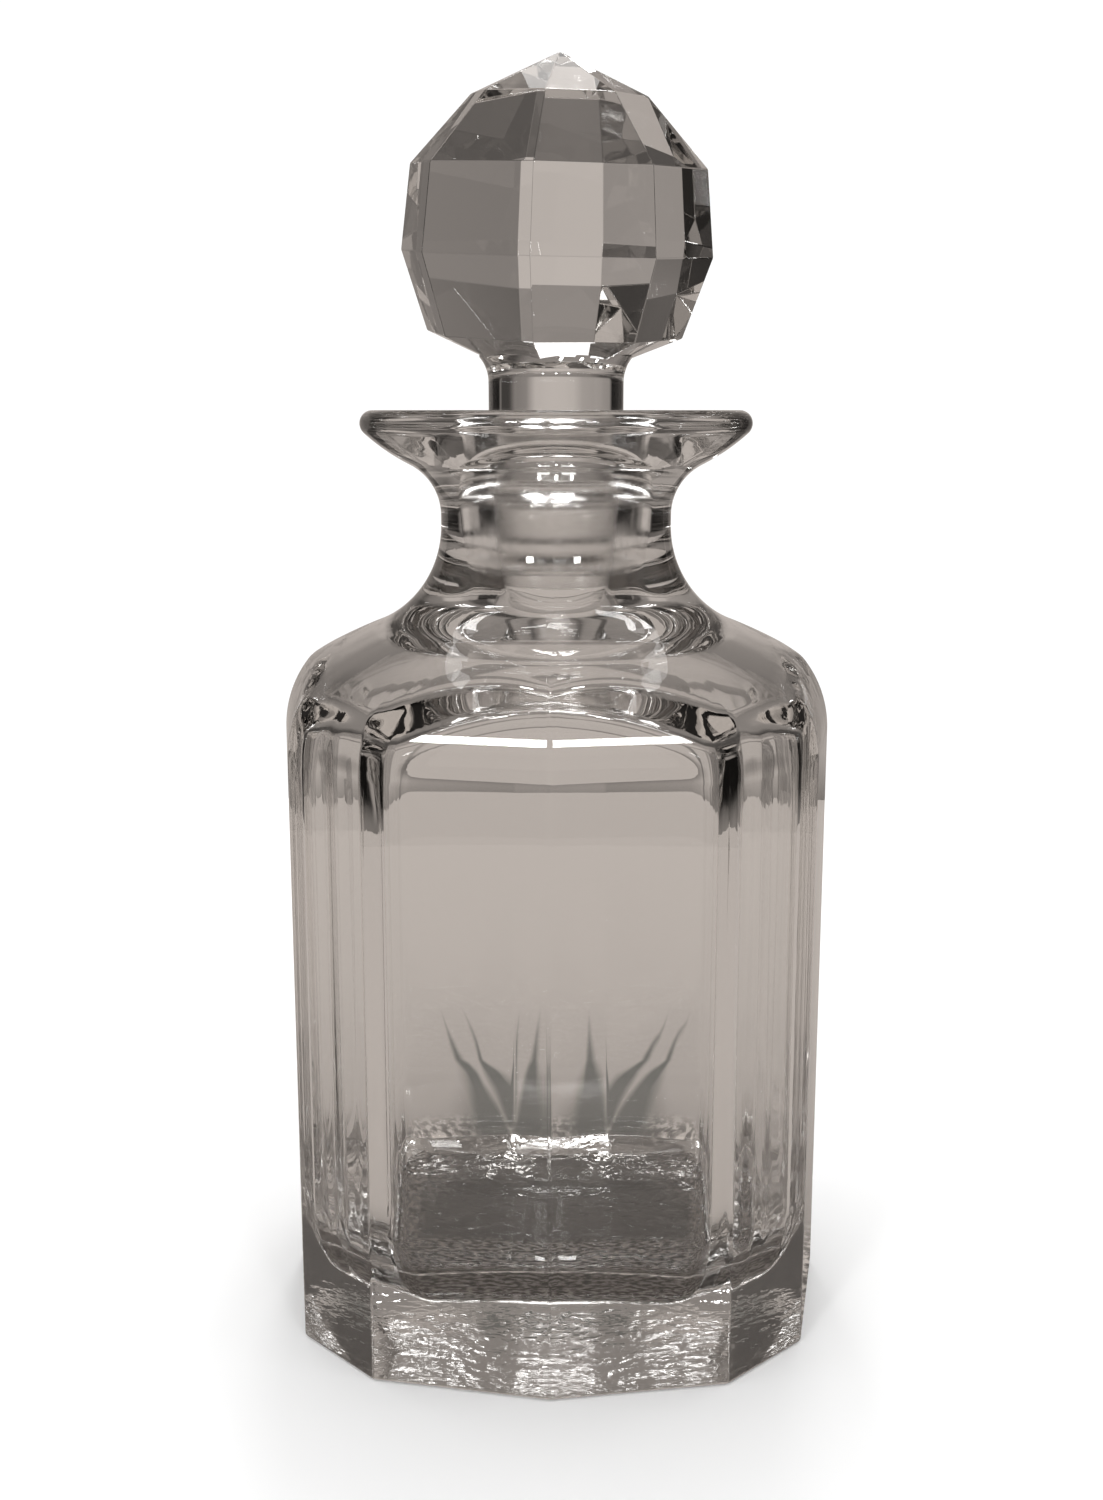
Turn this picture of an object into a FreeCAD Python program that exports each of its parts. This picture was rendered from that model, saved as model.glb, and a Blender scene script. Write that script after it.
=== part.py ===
import FreeCAD, Part
import math
import os
import Sketcher

# Cut crystal spirit decanter with a ground-in ball stopper, in millimetres.
# +Z is up and the origin is the middle of the base. The front face looks along -Y.
# Two pieces of glass: decanter_body and stopper.

V = FreeCAD.Vector

# name, value in mm (or degrees for the names that end in angle)
DIMENSIONS = [
    # twelve-sided body
    ("side_panel_dist", 49.2),       # axis to each of the eight side panels
    ("side_panel_angle", 10.4),      # side panels stand this far off the square
    ("corner_panel_dist", 53.0),     # axis to each of the four corner panels
    ("panel_roll_start", 106.0),     # where the panels start to curve in to the shoulder
    ("panel_roll_end", 126.0),
    ("panel_roll_radius", 21.0),
    ("side_panel_top", 34.603),       # how far in they have curved where they end
    ("corner_panel_top", 38.403),
    ("panel_count", 4.0),
    ("cutter_reach", 80.0),          # how far out and down a cut runs past the glass
    ("cutter_below", 5.0),
    ("blank_radius", 54.6),          # round blank the panels are cut from
    ("base_bevel", 0.8),
    # shoulder, neck and lip of the blank
    ("shoulder_low", 107.7),
    ("shoulder_edge_rad", 49.6),
    ("shoulder_edge_high", 116.9),
    ("shoulder_edge_curve", 11.0),
    ("shoulder_top_rad", 32.9),
    ("shoulder_top_high", 125.66),
    ("shoulder_curve", 90.0),
    ("neck_rad", 20.7),
    ("neck_low", 143.4),
    ("neck_low_curve", 19.0),
    ("neck_high", 145.2),
    ("neck_high_curve", 10.0),
    ("flare_rad", 26.32),
    ("flare_high", 154.19),
    ("flare_curve", 36.0),
    ("lip_under_rad", 34.08),
    ("lip_under_high", 159.54),
    ("lip_tip_curve", 2.3),
    ("lip_flat_rad", 32.6),
    ("rim_high", 163.6),
    # inside
    ("floor_high", 10.0),
    ("floor_round", 16.0),
    ("well_flat_dist", 40.5),        # axis to each inner wall
    ("well_flat_half", 23.48),       # half width of the flat part of an inner wall
    ("well_bend_out", 27.73),        # where a rounded edge runs out into an inner corner flat
    ("well_bend_in", 38.74),
    ("well_edge_round", 6.0),
    ("well_blank_rad", 49.5),
    ("well_blank_high", 104.0),
    ("well_edge_rad", 45.5),
    ("well_edge_high", 110.6),
    ("well_edge_curve", 8.0),
    ("well_top_rad", 30.2),
    ("well_top_high", 118.7),
    ("well_top_curve", 83.0),
    ("throat_rad", 15.1),
    ("throat_high", 123.9),
    ("throat_curve", 7.0),
    ("bore_low_rad", 10.38),
    ("bore_low_high", 130.4),
    ("bore_top_rad", 11.9),
    ("mouth_low", 160.6),
    ("mouth_rad", 14.9),
    ("mouth_curve", 3.0),
    ("above_rim", 170.0),
    # stopper
    ("plug_end_high", 130.2),
    ("plug_end_rad", 9.72),
    ("plug_bevel_high", 130.8),
    ("plug_low_rad", 10.32),
    ("plug_top_rad", 12.0),
    ("plug_top_high", 163.8),
    ("stem_high", 168.5),
    ("stem_curve", 6.6),
    ("collar_rad", 13.6),
    ("collar_low", 172.8),
    ("collar_high", 176.0),
    # facet-cut ball, heights measured from the middle of the ball
    ("ball_high", 197.0),
    ("ball_lean_angle", 6.0),        # facet rows are cut leaning to the front
    ("ball_side_angle", 1.5),
    ("facet_turn_angle", 15.5),      # first facet, turned from the front
    ("facet_count", 8.0),
    ("ball_blank_rad", 32.0),
    ("ball_under_rad", 12.4),
    ("ball_under", 24.3),
    ("ball_low_rad", 21.2),
    ("ball_low", 20.3),
    ("ball_belt_low_rad", 25.6),
    ("ball_belt_low", 6.5),
    ("ball_belt_top_rad", 24.1),
    ("ball_belt_top", 8.0),
    ("ball_crown_rad", 14.2),
    ("ball_crown", 19.5),
    ("ball_apex", 26.4),
]


def make_sheet(doc):
    sheet = doc.addObject("Spreadsheet::Sheet", "Dimensions")
    for row, (name, value) in enumerate(DIMENSIONS, start=1):
        sheet.set("A%d" % row, name)
        sheet.set("B%d" % row, str(value))
        sheet.setAlias("B%d" % row, name)
    doc.recompute()
    return sheet


def value_of(sheet, name):
    """Number behind a name. '-name' is its negative and '0' is zero."""
    if name == "0":
        return 0.0
    if name.startswith("-"):
        return -float(sheet.get(name[1:]))
    return float(sheet.get(name))


def bind(target, path, name):
    sign = "-" if name.startswith("-") else ""
    target.setExpression(path, "%sDimensions.%s" % (sign, name.lstrip("-")))


def origin_plane(body, role):
    return next(f for f in body.Origin.OriginFeatures if f.Role == role)


def new_sketch(body, name, role, turn=0.0):
    """Sketch on one of the body's own origin planes, turned about +Z by turn degrees."""
    sketch = body.newObject("Sketcher::SketchObject", name)
    sketch.AttachmentSupport = [(origin_plane(body, role), "")]
    sketch.MapMode = "FlatFace"
    sketch.AttachmentOffset = FreeCAD.Placement(V(0, 0, 0), FreeCAD.Rotation(V(0, 1, 0), turn))
    return sketch


def arc_between(start, end, radius, side):
    """Short arc from start to end; its centre lies to the left (side +1) or right (-1) of the chord."""
    chord = end - start
    middle = (start + end) * 0.5
    reach = math.sqrt(max(radius ** 2 - (chord.Length / 2) ** 2, 0.0))
    across = V(-chord.y, chord.x, 0).normalize() * (side * reach)
    centre = middle + across
    top = centre - across.normalize() * radius
    return Part.Arc(start, top, end)


def draw_outline(sheet, sketch, corners, bends):
    """Closed outline. corners are (x name, y name); bends maps a corner's index to
    (radius name, side) when the edge that leaves it is an arc."""
    points = [V(value_of(sheet, x), value_of(sheet, y), 0) for x, y in corners]
    count = len(points)
    for i in range(count):
        start = points[i]
        end = points[(i + 1) % count]
        if i in bends:
            radius, side = bends[i]
            edge = arc_between(start, end, value_of(sheet, radius), side)
        else:
            edge = Part.LineSegment(start, end)
        sketch.addGeometry(edge, False)
    ends = [arc_ends(sketch, i, points[i]) for i in range(count)]
    for i in range(count):
        after = (i + 1) % count
        sketch.addConstraint(Sketcher.Constraint("Coincident", i, ends[i][1], after, ends[after][0]))
    for i, (x, y) in enumerate(corners):
        hold_point(sketch, i, ends[i][0], points[i], x, y)
    for i, (radius, side) in bends.items():
        rule = sketch.addConstraint(Sketcher.Constraint("Radius", i, value_of(sheet, radius)))
        bind(sketch, "Constraints[%d]" % rule, radius)


def arc_ends(sketch, index, start):
    """Point numbers of an edge's own start and end, in the direction it was drawn."""
    if (sketch.getPoint(index, 1) - start).Length < 1e-6:
        return 1, 2
    return 2, 1


def hold_point(sketch, index, end, point, x, y):
    for kind, name, size in (("DistanceX", x, point.x), ("DistanceY", y, point.y)):
        if name == "0":
            line = -2 if kind == "DistanceX" else -1
            sketch.addConstraint(Sketcher.Constraint("PointOnObject", index, end, line))
            continue
        rule = sketch.addConstraint(Sketcher.Constraint(kind, -1, 1, index, end, size))
        bind(sketch, "Constraints[%d]" % rule, name)


def revolve(body, name, sketch):
    turned = body.newObject("PartDesign::Revolution", name)
    turned.Profile = sketch
    turned.ReferenceAxis = (sketch, ["V_Axis"])
    turned.Angle = 360.0
    sketch.Visibility = False
    return turned


def cut_all_round(doc, body, sketch, name, count_name):
    """Cut the sketch straight through, then repeat it evenly about the upright axis."""
    doc.recompute()
    before = body.Shape.Volume
    cut = body.newObject("PartDesign::Pocket", name)
    cut.Profile = sketch
    cut.SideType = "Symmetric"
    cut.setExpression("Length", "2 * Dimensions.cutter_reach")
    doc.recompute()
    if body.Shape.Volume >= before:
        raise RuntimeError("%s cuts nothing" % name)
    ring = body.newObject("PartDesign::PolarPattern", name + "_ring")
    ring.Originals = [cut]
    ring.Axis = (origin_plane(body, "Z_Axis"), [""])
    ring.Angle = 360.0
    bind(ring, "Occurrences", count_name)
    body.Tip = ring
    doc.recompute()
    if ring.Shape.Volume >= cut.Shape.Volume:
        raise RuntimeError("%s does not repeat" % name)


def bottom_edges(shape, level):
    names = []
    for number, edge in enumerate(shape.Edges, start=1):
        box = edge.BoundBox
        if abs(box.ZMin - level) < 1e-3 and abs(box.ZMax - level) < 1e-3:
            names.append("Edge%d" % number)
    return names


def make_outer_form(doc, sheet):
    """Solid outside of the decanter: turned blank, twelve cut panels, bevelled base."""
    body = doc.addObject("PartDesign::Body", "outer_form")
    sketch = new_sketch(body, "outer_outline", "XZ_Plane")
    corners = [
        ("0", "0"),
        ("blank_radius", "0"),
        ("blank_radius", "shoulder_low"),
        ("shoulder_edge_rad", "shoulder_edge_high"),
        ("shoulder_top_rad", "shoulder_top_high"),
        ("neck_rad", "neck_low"),
        ("neck_rad", "neck_high"),
        ("flare_rad", "flare_high"),
        ("lip_under_rad", "lip_under_high"),
        ("lip_flat_rad", "rim_high"),
        ("0", "rim_high"),
    ]
    bends = {
        2: ("shoulder_edge_curve", 1),
        3: ("shoulder_curve", 1),
        4: ("neck_low_curve", -1),
        6: ("neck_high_curve", -1),
        7: ("flare_curve", 1),
        8: ("lip_tip_curve", 1),
    }
    draw_outline(sheet, sketch, corners, bends)
    revolve(body, "blank", sketch)
    doc.recompute()
    lean = value_of(sheet, "side_panel_angle")
    cut_panel(doc, sheet, body, "side_panel_a", "side_panel_dist", "side_panel_top", lean)
    cut_panel(doc, sheet, body, "side_panel_b", "side_panel_dist", "side_panel_top", -lean)
    cut_panel(doc, sheet, body, "corner_panel", "corner_panel_dist", "corner_panel_top", 45.0)
    panelled = body.Tip
    bevel = body.newObject("PartDesign::Chamfer", "base_edge")
    bevel.Base = (panelled, bottom_edges(panelled.Shape, 0.0))
    bind(bevel, "Size", "base_bevel")
    body.Tip = bevel
    doc.recompute()
    return body


def cut_panel(doc, sheet, body, name, dist, top, turn):
    """One upright flat panel that curves in at its top, and its copies on the other sides."""
    sketch = new_sketch(body, name + "_outline", "XZ_Plane", turn)
    corners = [
        (dist, "-cutter_below"),
        (dist, "panel_roll_start"),
        (top, "panel_roll_end"),
        ("cutter_reach", "panel_roll_end"),
        ("cutter_reach", "-cutter_below"),
    ]
    draw_outline(sheet, sketch, corners, {1: ("panel_roll_radius", 1)})
    cut_all_round(doc, body, sketch, name, "panel_count")


def make_bore_form(doc, sheet):
    """Round inside: rounded mouth, ground taper, throat and inner shoulder."""
    body = doc.addObject("PartDesign::Body", "bore_form")
    sketch = new_sketch(body, "bore_outline", "XZ_Plane")
    corners = [
        ("0", "0"),
        ("well_blank_rad", "0"),
        ("well_blank_rad", "well_blank_high"),
        ("well_edge_rad", "well_edge_high"),
        ("well_top_rad", "well_top_high"),
        ("throat_rad", "throat_high"),
        ("bore_low_rad", "bore_low_high"),
        ("bore_top_rad", "mouth_low"),
        ("mouth_rad", "rim_high"),
        ("mouth_rad", "above_rim"),
        ("0", "above_rim"),
    ]
    bends = {
        2: ("well_edge_curve", 1),
        3: ("well_top_curve", 1),
        5: ("throat_curve", -1),
        7: ("mouth_curve", -1),
    }
    draw_outline(sheet, sketch, corners, bends)
    revolve(body, "bore_turned", sketch)
    doc.recompute()
    return body


def make_well_form(doc, sheet):
    """Square inside with well-rounded corners, from the floor up."""
    body = doc.addObject("PartDesign::Body", "well_form")
    sketch = new_sketch(body, "well_outline", "XY_Plane")
    flat = "well_flat_dist"
    half = "well_flat_half"
    wide = "well_bend_out"
    deep = "well_bend_in"
    corners = [
        (half, "-" + flat), (wide, "-" + deep), (deep, "-" + wide), (flat, "-" + half),
        (flat, half), (deep, wide), (wide, deep), (half, flat),
        ("-" + half, flat), ("-" + wide, deep), ("-" + deep, wide), ("-" + flat, half),
        ("-" + flat, "-" + half), ("-" + deep, "-" + wide), ("-" + wide, "-" + deep), ("-" + half, "-" + flat),
    ]
    bends = {i: ("well_edge_round", 1) for i in range(0, 16, 2)}
    draw_outline(sheet, sketch, corners, bends)
    bind(sketch, ".AttachmentOffset.Base.z", "floor_high")
    pad = body.newObject("PartDesign::Pad", "well")
    pad.Profile = sketch
    pad.setExpression("Length", "Dimensions.above_rim - Dimensions.floor_high")
    doc.recompute()
    rounding = body.newObject("PartDesign::Fillet", "floor_edge")
    rounding.Base = (pad, bottom_edges(pad.Shape, value_of(sheet, "floor_high")))
    bind(rounding, "Radius", "floor_round")
    body.Tip = rounding
    doc.recompute()
    return body


def make_decanter_body(doc, sheet):
    outer = make_outer_form(doc, sheet)
    bore = make_bore_form(doc, sheet)
    well = make_well_form(doc, sheet)
    hollow = doc.addObject("Part::Common", "hollow")
    hollow.Base = bore
    hollow.Tool = well
    bottle = doc.addObject("Part::Cut", "bottle")
    bottle.Base = outer
    bottle.Tool = hollow
    doc.recompute()
    if bottle.Shape.Volume >= outer.Shape.Volume:
        raise RuntimeError("the inside is not cut out")
    bottle.Label = "decanter_body"
    bottle.Placement = FreeCAD.Placement(V(0, 0, 0), FreeCAD.Rotation())
    return bottle


def make_ball(doc, sheet):
    """Ball of flat facets in aligned rows, built about its own middle and then leaned over."""
    body = doc.addObject("PartDesign::Body", "ball")
    blank_sketch = new_sketch(body, "ball_blank_outline", "XZ_Plane")
    draw_outline(sheet, blank_sketch, [
        ("0", "-ball_under"),
        ("ball_blank_rad", "-ball_under"),
        ("ball_blank_rad", "ball_apex"),
        ("0", "ball_apex"),
    ], {})
    revolve(body, "ball_blank", blank_sketch)
    doc.recompute()
    cut_sketch = new_sketch(body, "facet_outline", "XZ_Plane", -90.0 + value_of(sheet, "facet_turn_angle"))
    draw_facet_outline(sheet, cut_sketch)
    cut_all_round(doc, body, cut_sketch, "facets", "facet_count")
    lean = FreeCAD.Rotation(V(1, 0, 0), value_of(sheet, "ball_lean_angle"))
    side = FreeCAD.Rotation(V(0, 1, 0), value_of(sheet, "ball_side_angle"))
    body.Placement = FreeCAD.Placement(V(0, 0, 0), side.multiply(lean))
    bind(body, ".Placement.Base.z", "ball_high")
    doc.recompute()
    return body


def draw_facet_outline(sheet, sketch):
    """Everything outside the facets, seen edge-on: under row, low row, belt, crown row, top row."""
    rows = [
        ("ball_under_rad", "-ball_under"),
        ("ball_low_rad", "-ball_low"),
        ("ball_belt_low_rad", "-ball_belt_low"),
        ("ball_belt_top_rad", "ball_belt_top"),
        ("ball_crown_rad", "ball_crown"),
        ("0", "ball_apex"),
    ]
    points = [V(value_of(sheet, x), value_of(sheet, y), 0) for x, y in rows]
    outside = [
        V(0, points[-1].y + 5, 0),
        V(50, points[-1].y + 5, 0),
        V(50, points[0].y - 5, 0),
        V(points[0].x, points[0].y - 5, 0),
    ]
    loop = points + outside
    count = len(loop)
    for i in range(count):
        sketch.addGeometry(Part.LineSegment(loop[i], loop[(i + 1) % count]), False)
    for i in range(count):
        sketch.addConstraint(Sketcher.Constraint("Coincident", i, 2, (i + 1) % count, 1))
    for i, (x, y) in enumerate(rows):
        hold_point(sketch, i, 1, points[i], x, y)


def make_stopper(doc, sheet):
    """Ball on a short stem with a ground tapered plug, all one piece of glass."""
    body = doc.addObject("PartDesign::Body", "stem_and_plug")
    sketch = new_sketch(body, "stem_outline", "XZ_Plane")
    corners = [
        ("0", "plug_end_high"),
        ("plug_end_rad", "plug_end_high"),
        ("plug_low_rad", "plug_bevel_high"),
        ("plug_top_rad", "plug_top_high"),
        ("plug_top_rad", "stem_high"),
        ("collar_rad", "collar_low"),
        ("collar_rad", "collar_high"),
        ("0", "collar_high"),
    ]
    draw_outline(sheet, sketch, corners, {4: ("stem_curve", -1)})
    revolve(body, "stem", sketch)
    doc.recompute()
    ball = make_ball(doc, sheet)
    stopper = doc.addObject("Part::Fuse", "stopper_glass")
    stopper.Base = body
    stopper.Tool = ball
    stopper.Refine = True
    doc.recompute()
    stopper.Label = "stopper"
    stopper.Placement = FreeCAD.Placement(V(0, 0, 0), FreeCAD.Rotation())
    return stopper


def check_and_export(doc, nodes):
    doc.recompute()
    for thing in doc.Objects:
        if "Invalid" in thing.State or "Error" in thing.State:
            raise RuntimeError("%s is in state %s" % (thing.Name, thing.State))
    os.makedirs("parts", exist_ok=True)
    for node in nodes:
        shape = node.Shape
        if shape.isNull() or not shape.isValid() or len(shape.Solids) != 1:
            raise RuntimeError("%s has no valid single solid" % node.Label)
        shape.exportStep("parts/%s.step" % node.Label)
        print(node.Label, "volume cm3", round(shape.Volume / 1000, 2), shape.BoundBox)


def main():
    doc = FreeCAD.newDocument("decanter")
    sheet = make_sheet(doc)
    bottle = make_decanter_body(doc, sheet)
    stopper = make_stopper(doc, sheet)
    check_and_export(doc, [bottle, stopper])


main()
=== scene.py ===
import math

import bmesh
import bpy
import numpy as np
from mathutils import Euler, Matrix, Vector


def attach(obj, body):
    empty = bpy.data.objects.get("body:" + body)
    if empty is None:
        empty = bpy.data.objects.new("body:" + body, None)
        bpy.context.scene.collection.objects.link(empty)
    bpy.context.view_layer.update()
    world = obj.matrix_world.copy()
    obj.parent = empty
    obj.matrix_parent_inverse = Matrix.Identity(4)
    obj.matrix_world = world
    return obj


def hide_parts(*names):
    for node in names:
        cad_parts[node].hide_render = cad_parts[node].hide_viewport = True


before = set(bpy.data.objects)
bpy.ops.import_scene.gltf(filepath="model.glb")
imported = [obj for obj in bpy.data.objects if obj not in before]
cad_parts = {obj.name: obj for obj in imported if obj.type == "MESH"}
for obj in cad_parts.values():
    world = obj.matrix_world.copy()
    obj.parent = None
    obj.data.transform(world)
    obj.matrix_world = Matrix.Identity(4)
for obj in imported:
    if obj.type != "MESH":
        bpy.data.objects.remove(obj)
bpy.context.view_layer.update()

MM = 0.001

# ---------------------------------------------------------------- shape of the decanter, in millimetres
SIDE_DIST = 49.2          # axis to a side panel
SIDE_LEAN = 10.4          # side panels stand this many degrees off the square
CORNER_DIST = 53.0        # axis to a corner panel
ROLL_START = 106.0        # the panels curve in to the shoulder from here
ROLL_RADIUS = 21.0
EDGE_SOFT = 0.16          # how softly two cut panels meet
ARCH_SOFT = 0.9           # how softly a panel meets the shoulder
BASE_BEVEL = 0.8
SHOULDER_TOP = 127.0      # above this the outside is round
LIP_LOW = 158.0           # above this the lip turns over
FLOOR = 10.0              # thickness of the base
FLOOR_ROUND = 16.0        # round between the floor and the inner walls
FLOOR_DIP = 0.25          # how far the floor sinks in the middle
WELL_DIST = 40.5          # axis to an inner wall
WELL_CORNER_DIST = 47.0   # axis to an inner corner
WELL_SOFT = 0.9           # how softly inner walls meet inner corners
WELL_TOP = 121.0          # above this the inside is round
WELL_TOP_SOFT = 3.0       # how softly the inner walls meet the round top of the well
WELL_INSET = 0.18         # how far the middle of the waves stands in from the plain inner wall
# unevenness of the inner wall: height of the waves, waves round the wall, start and change with height
WAVES = [(0.08, 5, 0.9, 0.009), (0.14, 17, 2.1, -0.005), (0.15, 37, 0.4, 0.003), (0.11, 61, 1.7, 0.0)]
CALM = 0.96               # how much flatter the waves are at the front and back
GROUND_END = 10.38        # radius at the low end of the ground joint

# finish of each band of faces, which is also its place in the list of materials
POLISHED_FINISH, GROUND_FINISH, WORN_FINISH = 0, 1, 2

# turned outside of the decanter, from the blank up: radius, height, and the radius of the arc that leads
# there (+ bulges out)
BLANK = (54.6, 104.0)
OUTSIDE = [
    (54.6, 107.7, 0), (49.6, 116.9, 11.0), (32.9, 125.66, 90.0), (20.7, 143.4, -19.0), (20.7, 145.2, 0),
    (26.32, 154.19, -10.0), (34.08, 159.54, 36.0), (32.6, 163.6, 2.3),
]
# inside, from the rim down: radius, height, arc radius, and the spacing of its rings
INSIDE = [
    (14.9, 163.6, 0, 4.0), (11.9, 160.6, 3.0, 0.5), (GROUND_END, 130.4, 0, 5.0), (15.1, 123.9, 7.0, 0.7),
    (30.2, 118.7, 0, 0.8), (45.5, 110.6, -83.0, 0.8), (49.5, 104.0, -8.0, 0.8),
]


def arc_points(start, end, bulge, step):
    """Points from start (left out) to end along a line or an arc."""
    a = np.array(start, float)
    b = np.array(end, float)
    chord = b - a
    length = float(np.hypot(*chord))
    if not bulge:
        count = max(1, int(math.ceil(length / step)))
        return [tuple(a + chord * i / count) for i in range(1, count + 1)]
    radius = abs(bulge)
    reach = math.sqrt(max(radius ** 2 - (length / 2) ** 2, 0.0))
    across = np.array([-chord[1], chord[0]]) / length * math.copysign(reach, bulge)
    centre = (a + b) / 2 + across
    first = math.atan2(*(a - centre)[::-1])
    last = math.atan2(*(b - centre)[::-1])
    turn = (last - first + math.pi) % (2 * math.pi) - math.pi
    count = max(2, int(math.ceil(radius * abs(turn) / step)))
    angles = [first + turn * i / count for i in range(1, count + 1)]
    return [tuple(centre + radius * np.array([math.cos(t), math.sin(t)])) for t in angles]


def soft_min(a, b, soft):
    near = np.clip(soft - np.abs(a - b), 0.0, None) / soft
    return np.minimum(a, b) - near * near * soft / 4


def panel_normals():
    out = []
    for quarter in range(4):
        for lean, dist in ((-SIDE_LEAN, SIDE_DIST), (SIDE_LEAN, SIDE_DIST), (45.0, CORNER_DIST)):
            out.append((math.radians(90.0 * quarter + lean), dist))
    return out


PANELS = panel_normals()
CORNER_AT = math.degrees(math.atan2(30.6, 44.4))


def column_angles():
    """Angles round the axis: close together at the cut edges, even in between."""
    edges = []
    for quarter in range(4):
        edges += [90.0 * quarter, 90.0 * quarter + CORNER_AT, 90.0 * quarter + 90.0 - CORNER_AT]
    edges.sort()
    near = [-0.62, -0.40, -0.20, 0.0, 0.20, 0.40, 0.62]
    out = []
    for i, edge in enumerate(edges):
        out += [edge + n for n in near]
        after = edges[(i + 1) % len(edges)] + (360.0 if i + 1 == len(edges) else 0.0)
        start = edge + near[-1]
        span = after + near[0] - start
        count = int(round(span / 1.75))
        out += [start + span * k / count for k in range(1, count)]
    return np.radians(np.array(out))


THETA = column_angles()


def outer_wall(height):
    """Distance from the axis to the cut panels, at every column."""
    rise = np.clip(height - ROLL_START, 0.0, ROLL_RADIUS - 0.5)
    inward = ROLL_RADIUS - math.sqrt(ROLL_RADIUS ** 2 - rise ** 2)
    wall = np.full_like(THETA, 1e3)
    for angle, dist in PANELS:
        facing = np.cos(THETA - angle)
        reach = np.where(facing > 0.2, (dist - inward) / np.maximum(facing, 0.2), 1e3)
        wall = soft_min(wall, reach, EDGE_SOFT)
    return wall


def inner_wall(height):
    """Distance from the axis to the blown inner wall, slightly uneven as blown glass is."""
    wall = np.full_like(THETA, 1e3)
    for k in range(8):
        dist = WELL_CORNER_DIST if k % 2 else WELL_DIST
        facing = np.cos(THETA - math.radians(45.0 * k))
        reach = np.where(facing > 0.2, dist / np.maximum(facing, 0.2), 1e3)
        wall = soft_min(wall, reach, WELL_SOFT)
    uneven = 1.0 - CALM * np.clip((np.abs(np.sin(THETA)) - 0.72) / 0.12, 0.0, 1.0)
    wave = sum(size * np.sin(count * THETA + start + height * drift) for size, count, start, drift in WAVES)
    return wall - WELL_INSET + uneven * wave


def ring(radius, height):
    return np.stack([radius * np.cos(THETA), radius * np.sin(THETA), np.full_like(THETA, height)], axis=1)


def body_rings():
    """Rings of points from the middle of the base, up the outside and down the inside to the floor.
    Each comes with the finish of the band that follows it."""
    rings = []
    finishes = []

    def add(radius, height, finish=POLISHED_FINISH):
        rings.append(ring(radius, height))
        finishes.append(finish)

    foot = outer_wall(0.0)
    for share in (0.05, 0.3, 0.6, 0.85, 0.96):
        add((foot - BASE_BEVEL) * share, 0.0, WORN_FINISH)
    for angle in np.radians([0, 22, 45, 68, 90]):
        add(foot - BASE_BEVEL * (1 - math.sin(angle)), BASE_BEVEL * (1 - math.cos(angle)))
    for height in (1.6, 6.0, 25.0, 50.0, 75.0, 92.0, 100.0, 103.5):
        add(outer_wall(height), height)
    outline = [BLANK]
    last = BLANK
    for radius, height, bulge in OUTSIDE:
        step = 0.34 if height < SHOULDER_TOP else (0.9 if height < LIP_LOW else 0.45)
        outline += arc_points(last, (radius, height), bulge, step)
        last = (radius, height)
    for radius, height in outline:
        if height < SHOULDER_TOP:
            add(soft_min(np.full_like(THETA, radius), outer_wall(height), ARCH_SOFT), height)
        else:
            add(np.full_like(THETA, radius), height)
    for radius, height, bulge, step in INSIDE:
        ground = radius == GROUND_END
        finish = GROUND_FINISH if ground else POLISHED_FINISH
        if ground:
            finishes[-1] = GROUND_FINISH
        for r, h in arc_points(last, (radius, height), bulge, step):
            size = np.full_like(THETA, r)
            if h < WELL_TOP:
                size = soft_min(size, inner_wall(h), WELL_TOP_SOFT)
            add(size, h, finish)
        if ground:
            finishes[-1] = POLISHED_FINISH
        last = (radius, height)
    for height in (100.0, 94.0, 86.0, 77.0, 67.0, 56.0, 45.0, 35.0, FLOOR + FLOOR_ROUND):
        add(inner_wall(height), height)
    bottom = inner_wall(FLOOR)
    for angle in np.radians([5, 10, 16, 22, 29, 36, 43, 50, 57, 64, 71, 78, 84, 90]):
        add(bottom - FLOOR_ROUND * (1 - math.cos(angle)), FLOOR + FLOOR_ROUND * (1 - math.sin(angle)))
    inset = bottom - FLOOR_ROUND
    for share in (0.9, 0.7, 0.45, 0.2, 0.04):
        add(inset * share, FLOOR - FLOOR_DIP * (1 - share ** 2))
    return rings, finishes


def mesh_from(name, points, faces, finishes):
    mesh = bpy.data.meshes.new(name)
    mesh.from_pydata([tuple(p) for p in points * MM], [], faces)
    mesh.polygons.foreach_set("use_smooth", [True] * len(faces))
    mesh.polygons.foreach_set("material_index", finishes)
    mesh.update()
    return mesh


def area_normals(mesh):
    """Vertex normals weighted by face area, so the flat panels stay flat right up to their edges."""
    points = np.empty(len(mesh.vertices) * 3)
    mesh.vertices.foreach_get("co", points)
    points = points.reshape(-1, 3)
    mesh.calc_loop_triangles()
    corners = np.empty(len(mesh.loop_triangles) * 3, int)
    mesh.loop_triangles.foreach_get("vertices", corners)
    corners = corners.reshape(-1, 3)
    first, second, third = (points[corners[:, k]] for k in range(3))
    facing = np.cross(second - first, third - first)
    total = np.zeros_like(points)
    for k in range(3):
        np.add.at(total, corners[:, k], facing)
    lengths = np.linalg.norm(total, axis=1)
    lengths[lengths == 0] = 1
    mesh.normals_split_custom_set_from_vertices([tuple(n) for n in total / lengths[:, None]])


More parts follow.
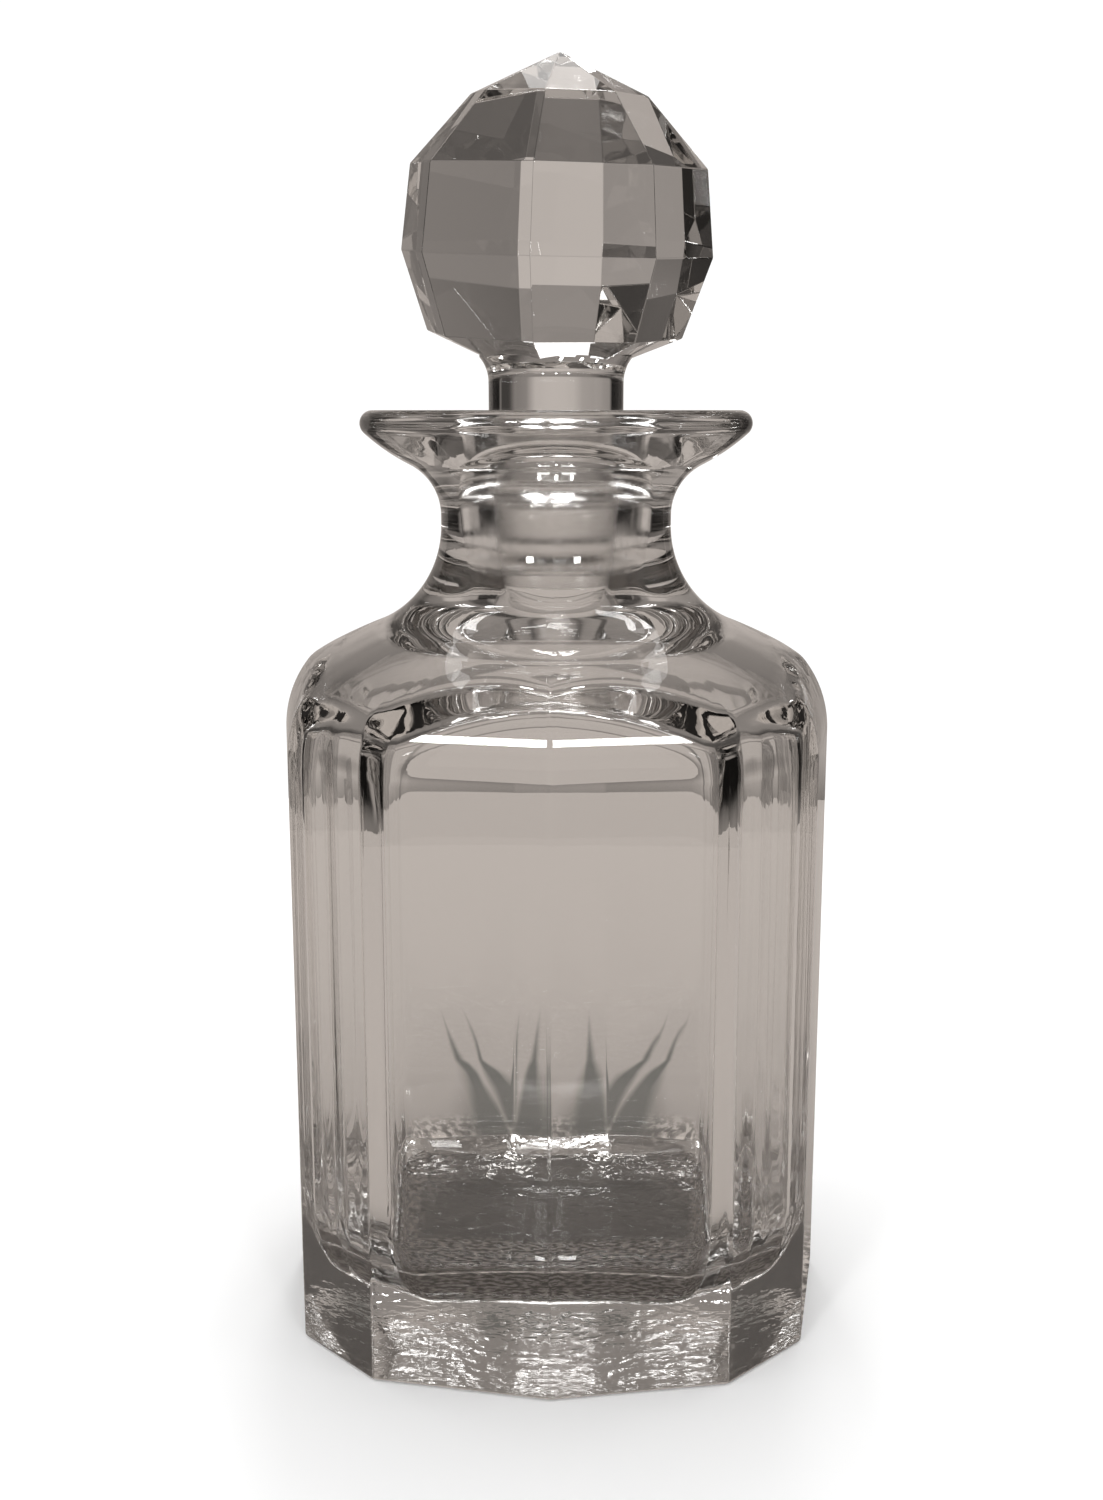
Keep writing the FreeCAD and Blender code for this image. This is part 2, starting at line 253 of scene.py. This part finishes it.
def make_body():
    rings, finishes = body_rings()
    wide = len(THETA)
    points = [np.array([0.0, 0.0, rings[0][0][2]])]
    for r in rings:
        points += list(r)
    points.append(np.array([0.0, 0.0, rings[-1][0][2]]))
    faces = []
    kinds = []
    for k in range(wide):
        faces.append((0, 1 + (k + 1) % wide, 1 + k))
        kinds.append(WORN_FINISH)
    for level in range(len(rings) - 1):
        low = 1 + level * wide
        high = low + wide
        for k in range(wide):
            after = (k + 1) % wide
            faces.append((low + k, low + after, high + after, high + k))
            kinds.append(finishes[level])
    low = 1 + (len(rings) - 1) * wide
    top = low + wide
    for k in range(wide):
        faces.append((low + k, low + (k + 1) % wide, top))
        kinds.append(POLISHED_FINISH)
    mesh = mesh_from("decanter_glass", np.array(points), faces, kinds)
    area_normals(mesh)
    body = bpy.data.objects.new("decanter_glass", mesh)
    bpy.context.scene.collection.objects.link(body)
    return body


# ---------------------------------------------------------------- stopper
BALL_HIGH = 197.0
BALL_LEAN = 6.0
BALL_SIDE = 1.5
FACET_TURN = 15.5
FACETS = 8
# facet rows seen edge-on: distance from the axis and height above the middle of the ball
BALL_ROWS = [(12.4, -24.3), (21.2, -20.3), (25.6, -6.5), (24.1, 8.0), (14.2, 19.5), (0.0, 26.4)]
BALL_EDGE = 0.17          # width taken off the edges between facets
PLUG_LOW = 132.0          # the end bevel of the plug lies below this
PLUG_TOP = 165.0          # the plug lies below this
GROUND_TOP = 162.0        # the plug is ground up to here
STEM = [
    (9.72, 130.2, 0), (10.32, 130.8, 0), (12.0, 163.8, 0), (12.0, 168.5, 0), (13.6, 172.8, -6.6),
    (13.6, 175.6, 0),
]


def make_ball():
    """Ball cut by flat facets in rows, with the edges just taken off."""
    mesh = bmesh.new()
    bmesh.ops.create_cube(mesh, size=90.0)
    planes = [((0, 0, BALL_ROWS[0][1]), (0, 0, -1))]
    for i in range(FACETS):
        turn = math.radians(FACET_TURN - 90.0 + i * 360.0 / FACETS)
        out = Vector((math.cos(turn), math.sin(turn), 0))
        for (r0, z0), (r1, z1) in zip(BALL_ROWS, BALL_ROWS[1:]):
            normal = out * (z1 - z0) + Vector((0, 0, r0 - r1))
            planes.append((out * r0 + Vector((0, 0, z0)), normal.normalized()))
    for point, normal in planes:
        whole = mesh.verts[:] + mesh.edges[:] + mesh.faces[:]
        cut = bmesh.ops.bisect_plane(
            mesh, geom=whole, plane_co=point, plane_no=normal, clear_outer=True, dist=1e-5
        )
        rim = [e for e in cut["geom_cut"] if isinstance(e, bmesh.types.BMEdge)]
        if rim:
            bmesh.ops.contextual_create(mesh, geom=rim)
    bmesh.ops.remove_doubles(mesh, verts=mesh.verts[:], dist=0.02)
    bmesh.ops.dissolve_limit(mesh, angle_limit=math.radians(1.0), verts=mesh.verts[:], edges=mesh.edges[:])
    bmesh.ops.recalc_face_normals(mesh, faces=mesh.faces[:])
    bmesh.ops.bevel(
        mesh, geom=mesh.edges[:], offset=BALL_EDGE, offset_type="OFFSET", segments=2, profile=0.5,
        affect="EDGES",
    )
    lean = Matrix.Rotation(math.radians(BALL_SIDE), 4, "Y") @ Matrix.Rotation(math.radians(BALL_LEAN), 4, "X")
    mesh.transform(Matrix.Scale(MM, 4) @ Matrix.Translation((0, 0, BALL_HIGH)) @ lean)
    data = bpy.data.meshes.new("ball")
    mesh.to_mesh(data)
    mesh.free()
    return data


def make_stem():
    angles = np.linspace(0, 2 * math.pi, 160, endpoint=False)
    last = STEM[0][:2]
    outline = [last]
    for radius, height, bulge in STEM[1:]:
        step = 0.5 if height < PLUG_LOW else (3.0 if height < PLUG_TOP else 0.45)
        outline += arc_points(last, (radius, height), bulge, step)
        last = (radius, height)
    points = [(0.0, 0.0, outline[0][1])]
    for radius, height in outline:
        points += [(radius * math.cos(a), radius * math.sin(a), height) for a in angles]
    points.append((0.0, 0.0, outline[-1][1]))
    wide = len(angles)
    faces = [(0, 1 + (k + 1) % wide, 1 + k) for k in range(wide)]
    kinds = [GROUND_FINISH] * wide
    for level in range(len(outline) - 1):
        low = 1 + level * wide
        for k in range(wide):
            after = (k + 1) % wide
            faces.append((low + k, low + after, low + wide + after, low + wide + k))
            kinds.append(GROUND_FINISH if outline[level + 1][1] < GROUND_TOP else POLISHED_FINISH)
    low = 1 + (len(outline) - 1) * wide
    faces += [(low + k, low + (k + 1) % wide, low + wide) for k in range(wide)]
    kinds += [POLISHED_FINISH] * wide
    return mesh_from("stem", np.array(points), faces, kinds)


def make_stopper():
    ball = bpy.data.objects.new("ball_part", make_ball())
    stem = bpy.data.objects.new("stopper_glass", make_stem())
    for thing in (ball, stem):
        bpy.context.scene.collection.objects.link(thing)
        for material in (GLASS, GROUND):
            thing.data.materials.append(material)
    join = stem.modifiers.new("join", "BOOLEAN")
    join.operation = "UNION"
    join.solver = "EXACT"
    join.object = ball
    settle(stem)
    stem.data.polygons.foreach_set("use_smooth", [True] * len(stem.data.polygons))
    stem.data.set_sharp_from_angle(angle=math.radians(28))
    weight = stem.modifiers.new("weight", "WEIGHTED_NORMAL")
    weight.mode = "FACE_AREA"
    weight.weight = 90
    weight.keep_sharp = True
    settle(stem)
    bpy.data.objects.remove(ball)
    return stem


def settle(obj):
    """Turns an object's modifiers into mesh."""
    graph = bpy.context.evaluated_depsgraph_get()
    done = bpy.data.meshes.new_from_object(
        obj.evaluated_get(graph), preserve_all_data_layers=True, depsgraph=graph
    )
    obj.modifiers.clear()
    old = obj.data
    obj.data = done
    done.name = obj.name
    bpy.data.meshes.remove(old)


# ---------------------------------------------------------------- materials
CRYSTAL_INDEX = 1.54
CRYSTAL_COLOUR = (0.985, 0.983, 0.98, 1.0)
STRIAE_DEPTH = 0.0004     # metres


def new_material(name):
    material = bpy.data.materials.new(name)
    material.use_nodes = True
    tree = material.node_tree
    tree.nodes.clear()
    return material, tree


def node(tree, kind, **values):
    made = tree.nodes.new(kind)
    for key, value in values.items():
        setattr(made, key, value)
    return made


def glass_material(name, rough_low, rough_high, grain, bump_strength):
    """Clear glass with fine roughness between two values and waves whose spacing grain sets on each axis."""
    material, tree = new_material(name)
    link = tree.links.new
    place = node(tree, "ShaderNodeTexCoord")
    stretch = node(tree, "ShaderNodeMapping")
    stretch.inputs["Scale"].default_value = grain
    link(place.outputs["Object"], stretch.inputs["Vector"])
    striae = node(tree, "ShaderNodeTexNoise")
    striae.inputs["Scale"].default_value = 1.0
    striae.inputs["Detail"].default_value = 2.0
    link(stretch.outputs["Vector"], striae.inputs["Vector"])
    fine = node(tree, "ShaderNodeTexNoise")
    fine.inputs["Scale"].default_value = 900.0
    fine.inputs["Detail"].default_value = 3.0
    link(place.outputs["Object"], fine.inputs["Vector"])
    rough = node(tree, "ShaderNodeMapRange")
    rough.inputs["From Min"].default_value = 0.35
    rough.inputs["From Max"].default_value = 0.75
    rough.inputs["To Min"].default_value = rough_low
    rough.inputs["To Max"].default_value = rough_high
    link(fine.outputs["Fac"], rough.inputs["Value"])
    bump = node(tree, "ShaderNodeBump")
    bump.inputs["Strength"].default_value = bump_strength
    bump.inputs["Distance"].default_value = STRIAE_DEPTH
    link(striae.outputs["Fac"], bump.inputs["Height"])
    glass = node(tree, "ShaderNodeBsdfGlass")
    glass.inputs["Color"].default_value = CRYSTAL_COLOUR
    glass.inputs["IOR"].default_value = CRYSTAL_INDEX
    link(rough.outputs["Result"], glass.inputs["Roughness"])
    link(bump.outputs["Normal"], glass.inputs["Normal"])
    out = node(tree, "ShaderNodeOutputMaterial")
    link(glass.outputs["BSDF"], out.inputs["Surface"])
    return material


GLASS = glass_material("crystal_polished", 0.0, 0.02, (60.0, 60.0, 9.0), 0.06)
GROUND = glass_material("crystal_ground", 0.10, 0.20, (60.0, 60.0, 9.0), 0.25)
WORN = glass_material("crystal_worn_base", 0.0, 0.12, (240.0, 240.0, 240.0), 0.6)


def math_node(tree, operation, first, second=None, third=None):
    """Math node on sockets or plain numbers; returns its output."""
    made = node(tree, "ShaderNodeMath", operation=operation)
    for slot_number, value in enumerate((first, second, third)):
        if value is None:
            continue
        if isinstance(value, (int, float)):
            made.inputs[slot_number].default_value = value
        else:
            tree.links.new(value, made.inputs[slot_number])
    return made.outputs["Value"]


def blend_range(tree, value, low, high):
    made = node(tree, "ShaderNodeMapRange", interpolation_type="SMOOTHSTEP")
    made.inputs["From Min"].default_value = low
    made.inputs["From Max"].default_value = high
    tree.links.new(value, made.inputs["Value"])
    return made.outputs["Result"]


def mix_colour(tree, factor, first, second):
    made = node(tree, "ShaderNodeMix", data_type="RGBA")
    colours = [socket for socket in made.inputs if socket.type == "RGBA"]
    tree.links.new(factor, made.inputs["Factor"])
    for socket, value in zip(colours, (first, second)):
        if isinstance(value, tuple):
            socket.default_value = value
        else:
            tree.links.new(value, socket)
    return next(socket for socket in made.outputs if socket.type == "RGBA")


def ramp(tree, value, stops):
    """Colour ramp with (position, (red, green, blue)) stops, or one number for a grey."""
    made = node(tree, "ShaderNodeValToRGB")
    tree.links.new(value, made.inputs["Fac"])
    band = made.color_ramp
    while len(band.elements) < len(stops):
        band.elements.new(1.0)
    for element, (position, colour) in zip(band.elements, stops):
        element.position = position
        element.color = (*colour, 1.0) if isinstance(colour, tuple) else (colour, colour, colour, 1.0)
    return made.outputs["Color"]


def tinted(level):
    """Grey-beige of the room at a brightness."""
    return (level * 1.05, level * 0.95, level * 0.88)


# what the glass sees round the horizon: (degrees away from straight behind the decanter, brightness). It is a
# lit backdrop, a dark flag at each side of it, pale side walls, and the dark front corners of the room
SIDES = [
    (46, 0.005), (92, 0.005), (96, 0.30), (108, 0.34), (114, 0.02), (156, 0.02), (164, 0.24), (180, 0.22),
]
HORIZON_RIGHT = [
    (0, 0.50), (11, 0.48), (17, 0.24), (26, 0.20), (31, 0.05), (41, 0.05), (43, 0.2), *SIDES,
]
HORIZON_LEFT = [(0, 0.50), (11, 0.48), (17, 0.36), (26, 0.33), (42, 0.28), *SIDES]
OVERHEAD = [
    (0, 0.25), (24, 0.20), (34, 0.06), (58, 0.05), (72, 0.26), (112, 0.22), (124, 0.05), (148, 0.30),
    (180, 0.40),
]
BELOW = [
    (0, 0.16), (14, 0.07), (40, 0.10), (70, 0.22), (100, 0.15), (118, 0.02), (164, 0.02), (180, 0.16),
]
# where one band gives way to the next, as the height of the direction looked in
LEFT_TO_RIGHT = (-0.05, 0.05)
BELOW_TO_HORIZON = (-0.24, -0.19)
HORIZON_TO_OVERHEAD = (0.20, 0.30)
SEEN_WHITE = (1.06, 1.06, 1.06, 1)
LIGHT_WHITE = (1.0, 1.0, 1.0, 1)


def make_world():
    """White to the camera and for lighting the floor. The glass sees a studio with dark flags."""
    world = bpy.data.worlds.new("studio")
    bpy.context.scene.world = world
    world.use_nodes = True
    tree = world.node_tree
    tree.nodes.clear()
    place = node(tree, "ShaderNodeTexCoord")
    split = node(tree, "ShaderNodeSeparateXYZ")
    tree.links.new(place.outputs["Generated"], split.inputs["Vector"])
    x, y, z = split.outputs
    round_by = math_node(tree, "ABSOLUTE", math_node(tree, "ARCTAN2", x, y))
    share = math_node(tree, "DIVIDE", round_by, math.pi)
    bands = [
        ramp(tree, share, [(angle / 180.0, tinted(level)) for angle, level in band])
        for band in (BELOW, HORIZON_LEFT, HORIZON_RIGHT, OVERHEAD)
    ]
    below, left, right, overhead = bands
    level = mix_colour(tree, blend_range(tree, x, *LEFT_TO_RIGHT), left, right)
    low = mix_colour(tree, blend_range(tree, z, *BELOW_TO_HORIZON), below, level)
    room = mix_colour(tree, blend_range(tree, z, *HORIZON_TO_OVERHEAD), low, overhead)
    path = node(tree, "ShaderNodeLightPath")
    lit = mix_colour(tree, path.outputs["Is Diffuse Ray"], room, LIGHT_WHITE)
    seen = mix_colour(tree, path.outputs["Is Camera Ray"], lit, SEEN_WHITE)
    sky = node(tree, "ShaderNodeBackground")
    tree.links.new(seen, sky.inputs["Color"])
    out = node(tree, "ShaderNodeOutputWorld")
    tree.links.new(sky.outputs["Background"], out.inputs["Surface"])


# patch of shade on the table, as the glass sees it: how far behind the axis it reaches at each distance from
# the middle line, in millimetres
SHADE_REACH = [(0, 62), (1.5, 96), (3, 140), (4.5, 92), (7, 66), (11, 50), (16, 38), (20, 30), (23, -18)]
SHADE_FRONT = -3.0
SHADE_WIDE = 40.0         # widest distance from the middle line that is told apart
SHADE_NEAR = 20.0         # how far in front of the axis the reach is measured from
SHADE_DEEP = 200.0        # depth the reach is measured over
SHADE_SOFT = (-0.08, 0.16)
SHADE_COLOUR = (0.13, 0.128, 0.118, 1)
TABLE_RADIUS = 0.42
TABLE_GAP = 0.0002        # table top below the base
TABLE_WHITE = (0.97, 0.97, 0.97, 1)
TABLE_TONE = 0.38         # tone the glass sees, away from the decanter
CLOTH_EDGE = (0.048, 0.058)  # distance from the axis over which the weave fades out
# brightness of the weave at each noise value
CLOTH = [(0.40, 0.14), (0.5, 0.36), (0.58, 0.75)]


def make_floor():
    """Pale round table top. The glass sees it grey-beige with a fine weave, and with a patch of shade under
    the rear half of the decanter and behind it."""
    data = bpy.data.meshes.new("floor")
    rim = [
        (TABLE_RADIUS * math.cos(math.radians(a)), TABLE_RADIUS * math.sin(math.radians(a)), 0.0)
        for a in range(0, 360, 5)
    ]
    data.from_pydata(rim, [], [tuple(range(len(rim)))])
    floor = bpy.data.objects.new("floor", data)
    floor.location.z = -TABLE_GAP
    bpy.context.scene.collection.objects.link(floor)
    material, tree = new_material("floor")
    place = node(tree, "ShaderNodeTexCoord")
    split = node(tree, "ShaderNodeSeparateXYZ")
    tree.links.new(place.outputs["Object"], split.inputs["Vector"])
    x, y, _ = split.outputs
    aside = math_node(tree, "MULTIPLY", math_node(tree, "ABSOLUTE", x), 1.0 / (SHADE_WIDE * MM))
    stops = [(distance / SHADE_WIDE, (far + SHADE_NEAR) / SHADE_DEEP) for distance, far in SHADE_REACH]
    reach = ramp(tree, aside, stops)
    behind = math_node(tree, "MULTIPLY_ADD", y, 1.0 / (SHADE_DEEP * MM), SHADE_NEAR / SHADE_DEEP)
    inside = blend_range(tree, math_node(tree, "SUBTRACT", reach, behind), *SHADE_SOFT)
    rear = blend_range(tree, y, (SHADE_FRONT - 3.0) * MM, (SHADE_FRONT + 3.0) * MM)
    shade = math_node(tree, "MULTIPLY", inside, rear)
    weave = node(tree, "ShaderNodeTexNoise")
    weave.inputs["Scale"].default_value = 620.0
    weave.inputs["Detail"].default_value = 3.0
    tree.links.new(place.outputs["Object"], weave.inputs["Vector"])
    cloth = ramp(tree, weave.outputs["Fac"], [(share, tinted(level)) for share, level in CLOTH])
    away = node(tree, "ShaderNodeVectorMath", operation="LENGTH")
    tree.links.new(place.outputs["Object"], away.inputs[0])
    edge = blend_range(tree, away.outputs["Value"], *CLOTH_EDGE)
    tone = mix_colour(tree, edge, cloth, (*tinted(TABLE_TONE), 1))
    below = mix_colour(tree, shade, tone, SHADE_COLOUR)
    path = node(tree, "ShaderNodeLightPath")
    seen = mix_colour(tree, path.outputs["Is Camera Ray"], below, TABLE_WHITE)
    skin = node(tree, "ShaderNodeBsdfDiffuse")
    tree.links.new(seen, skin.inputs["Color"])
    out = node(tree, "ShaderNodeOutputMaterial")
    tree.links.new(skin.outputs["BSDF"], out.inputs["Surface"])
    data.materials.append(material)


# lights: name, place, the point faced, width and height, watts
SHOULDER_POINT = (0, 0, 0.12)
BODY_POINT = (0, 0, 0.1)
LIGHTS = [
    ("window_left", (-0.115, 0.80, 0.95), SHOULDER_POINT, (0.13, 0.46), 0.30),
    ("window_right", (0.080, 0.80, 0.95), SHOULDER_POINT, (0.11, 0.46), 0.25),
    ("skylight_left", (-0.040, 0.46, 1.10), (-0.040, 0.46, 0.0), (0.11, 0.40), 1.7),
    ("skylight_right", (0.112, 0.46, 1.10), (0.112, 0.46, 0.0), (0.08, 0.40), 1.25),
    ("glint_a", (-0.16, 1.0, 0.74), SHOULDER_POINT, (0.02, 0.07), 0.05),
    ("glint_b", (-0.02, 1.0, 0.74), SHOULDER_POINT, (0.02, 0.07), 0.05),
    ("glint_c", (0.13, 1.0, 0.74), SHOULDER_POINT, (0.02, 0.07), 0.05),
    ("front_left", (-0.42, -0.92, 0.55), BODY_POINT, (0.12, 0.12), 2.2),
    ("front_right", (0.37, -0.92, 0.55), BODY_POINT, (0.12, 0.12), 1.2),
]


def soft_box(name, at, towards, size, power):
    lamp = bpy.data.lights.new(name, "AREA")
    lamp.shape = "RECTANGLE"
    lamp.size, lamp.size_y = size
    lamp.energy = power
    thing = bpy.data.objects.new(name, lamp)
    thing.location = at
    thing.rotation_euler = (Vector(towards) - Vector(at)).to_track_quat("-Z", "Y").to_euler()
    bpy.context.scene.collection.objects.link(thing)


CAMERA_SIDE = -0.00081
CAMERA_BACK = -0.3081
CAMERA_HIGH = 0.1636
CAMERA_TURN = math.radians(1.26)
CAMERA_DOWN = math.radians(11.34)


def make_camera():
    data = bpy.data.cameras.new("camera")
    data.sensor_width = 36.0
    data.lens = 40.68
    data.clip_start = 0.01
    camera = bpy.data.objects.new("camera", data)
    camera.location = (
        CAMERA_SIDE * math.cos(CAMERA_TURN) - CAMERA_BACK * math.sin(CAMERA_TURN),
        CAMERA_SIDE * math.sin(CAMERA_TURN) + CAMERA_BACK * math.cos(CAMERA_TURN),
        CAMERA_HIGH,
    )
    camera.rotation_euler = Euler((math.radians(90.0) - CAMERA_DOWN, 0, CAMERA_TURN))
    bpy.context.scene.collection.objects.link(camera)
    bpy.context.scene.camera = camera


body = make_body()
for material in (GLASS, GROUND, WORN):
    body.data.materials.append(material)
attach(body, "decanter")
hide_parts("decanter_body")
stopper = make_stopper()
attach(stopper, "stopper_piece")
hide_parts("stopper")

make_world()
make_floor()
for light in LIGHTS:
    soft_box(*light)
make_camera()

scene = bpy.context.scene
scene.view_settings.view_transform = "Standard"
scene.cycles.max_bounces = 24
scene.cycles.transmission_bounces = 24
scene.cycles.glossy_bounces = 12
scene.cycles.diffuse_bounces = 2
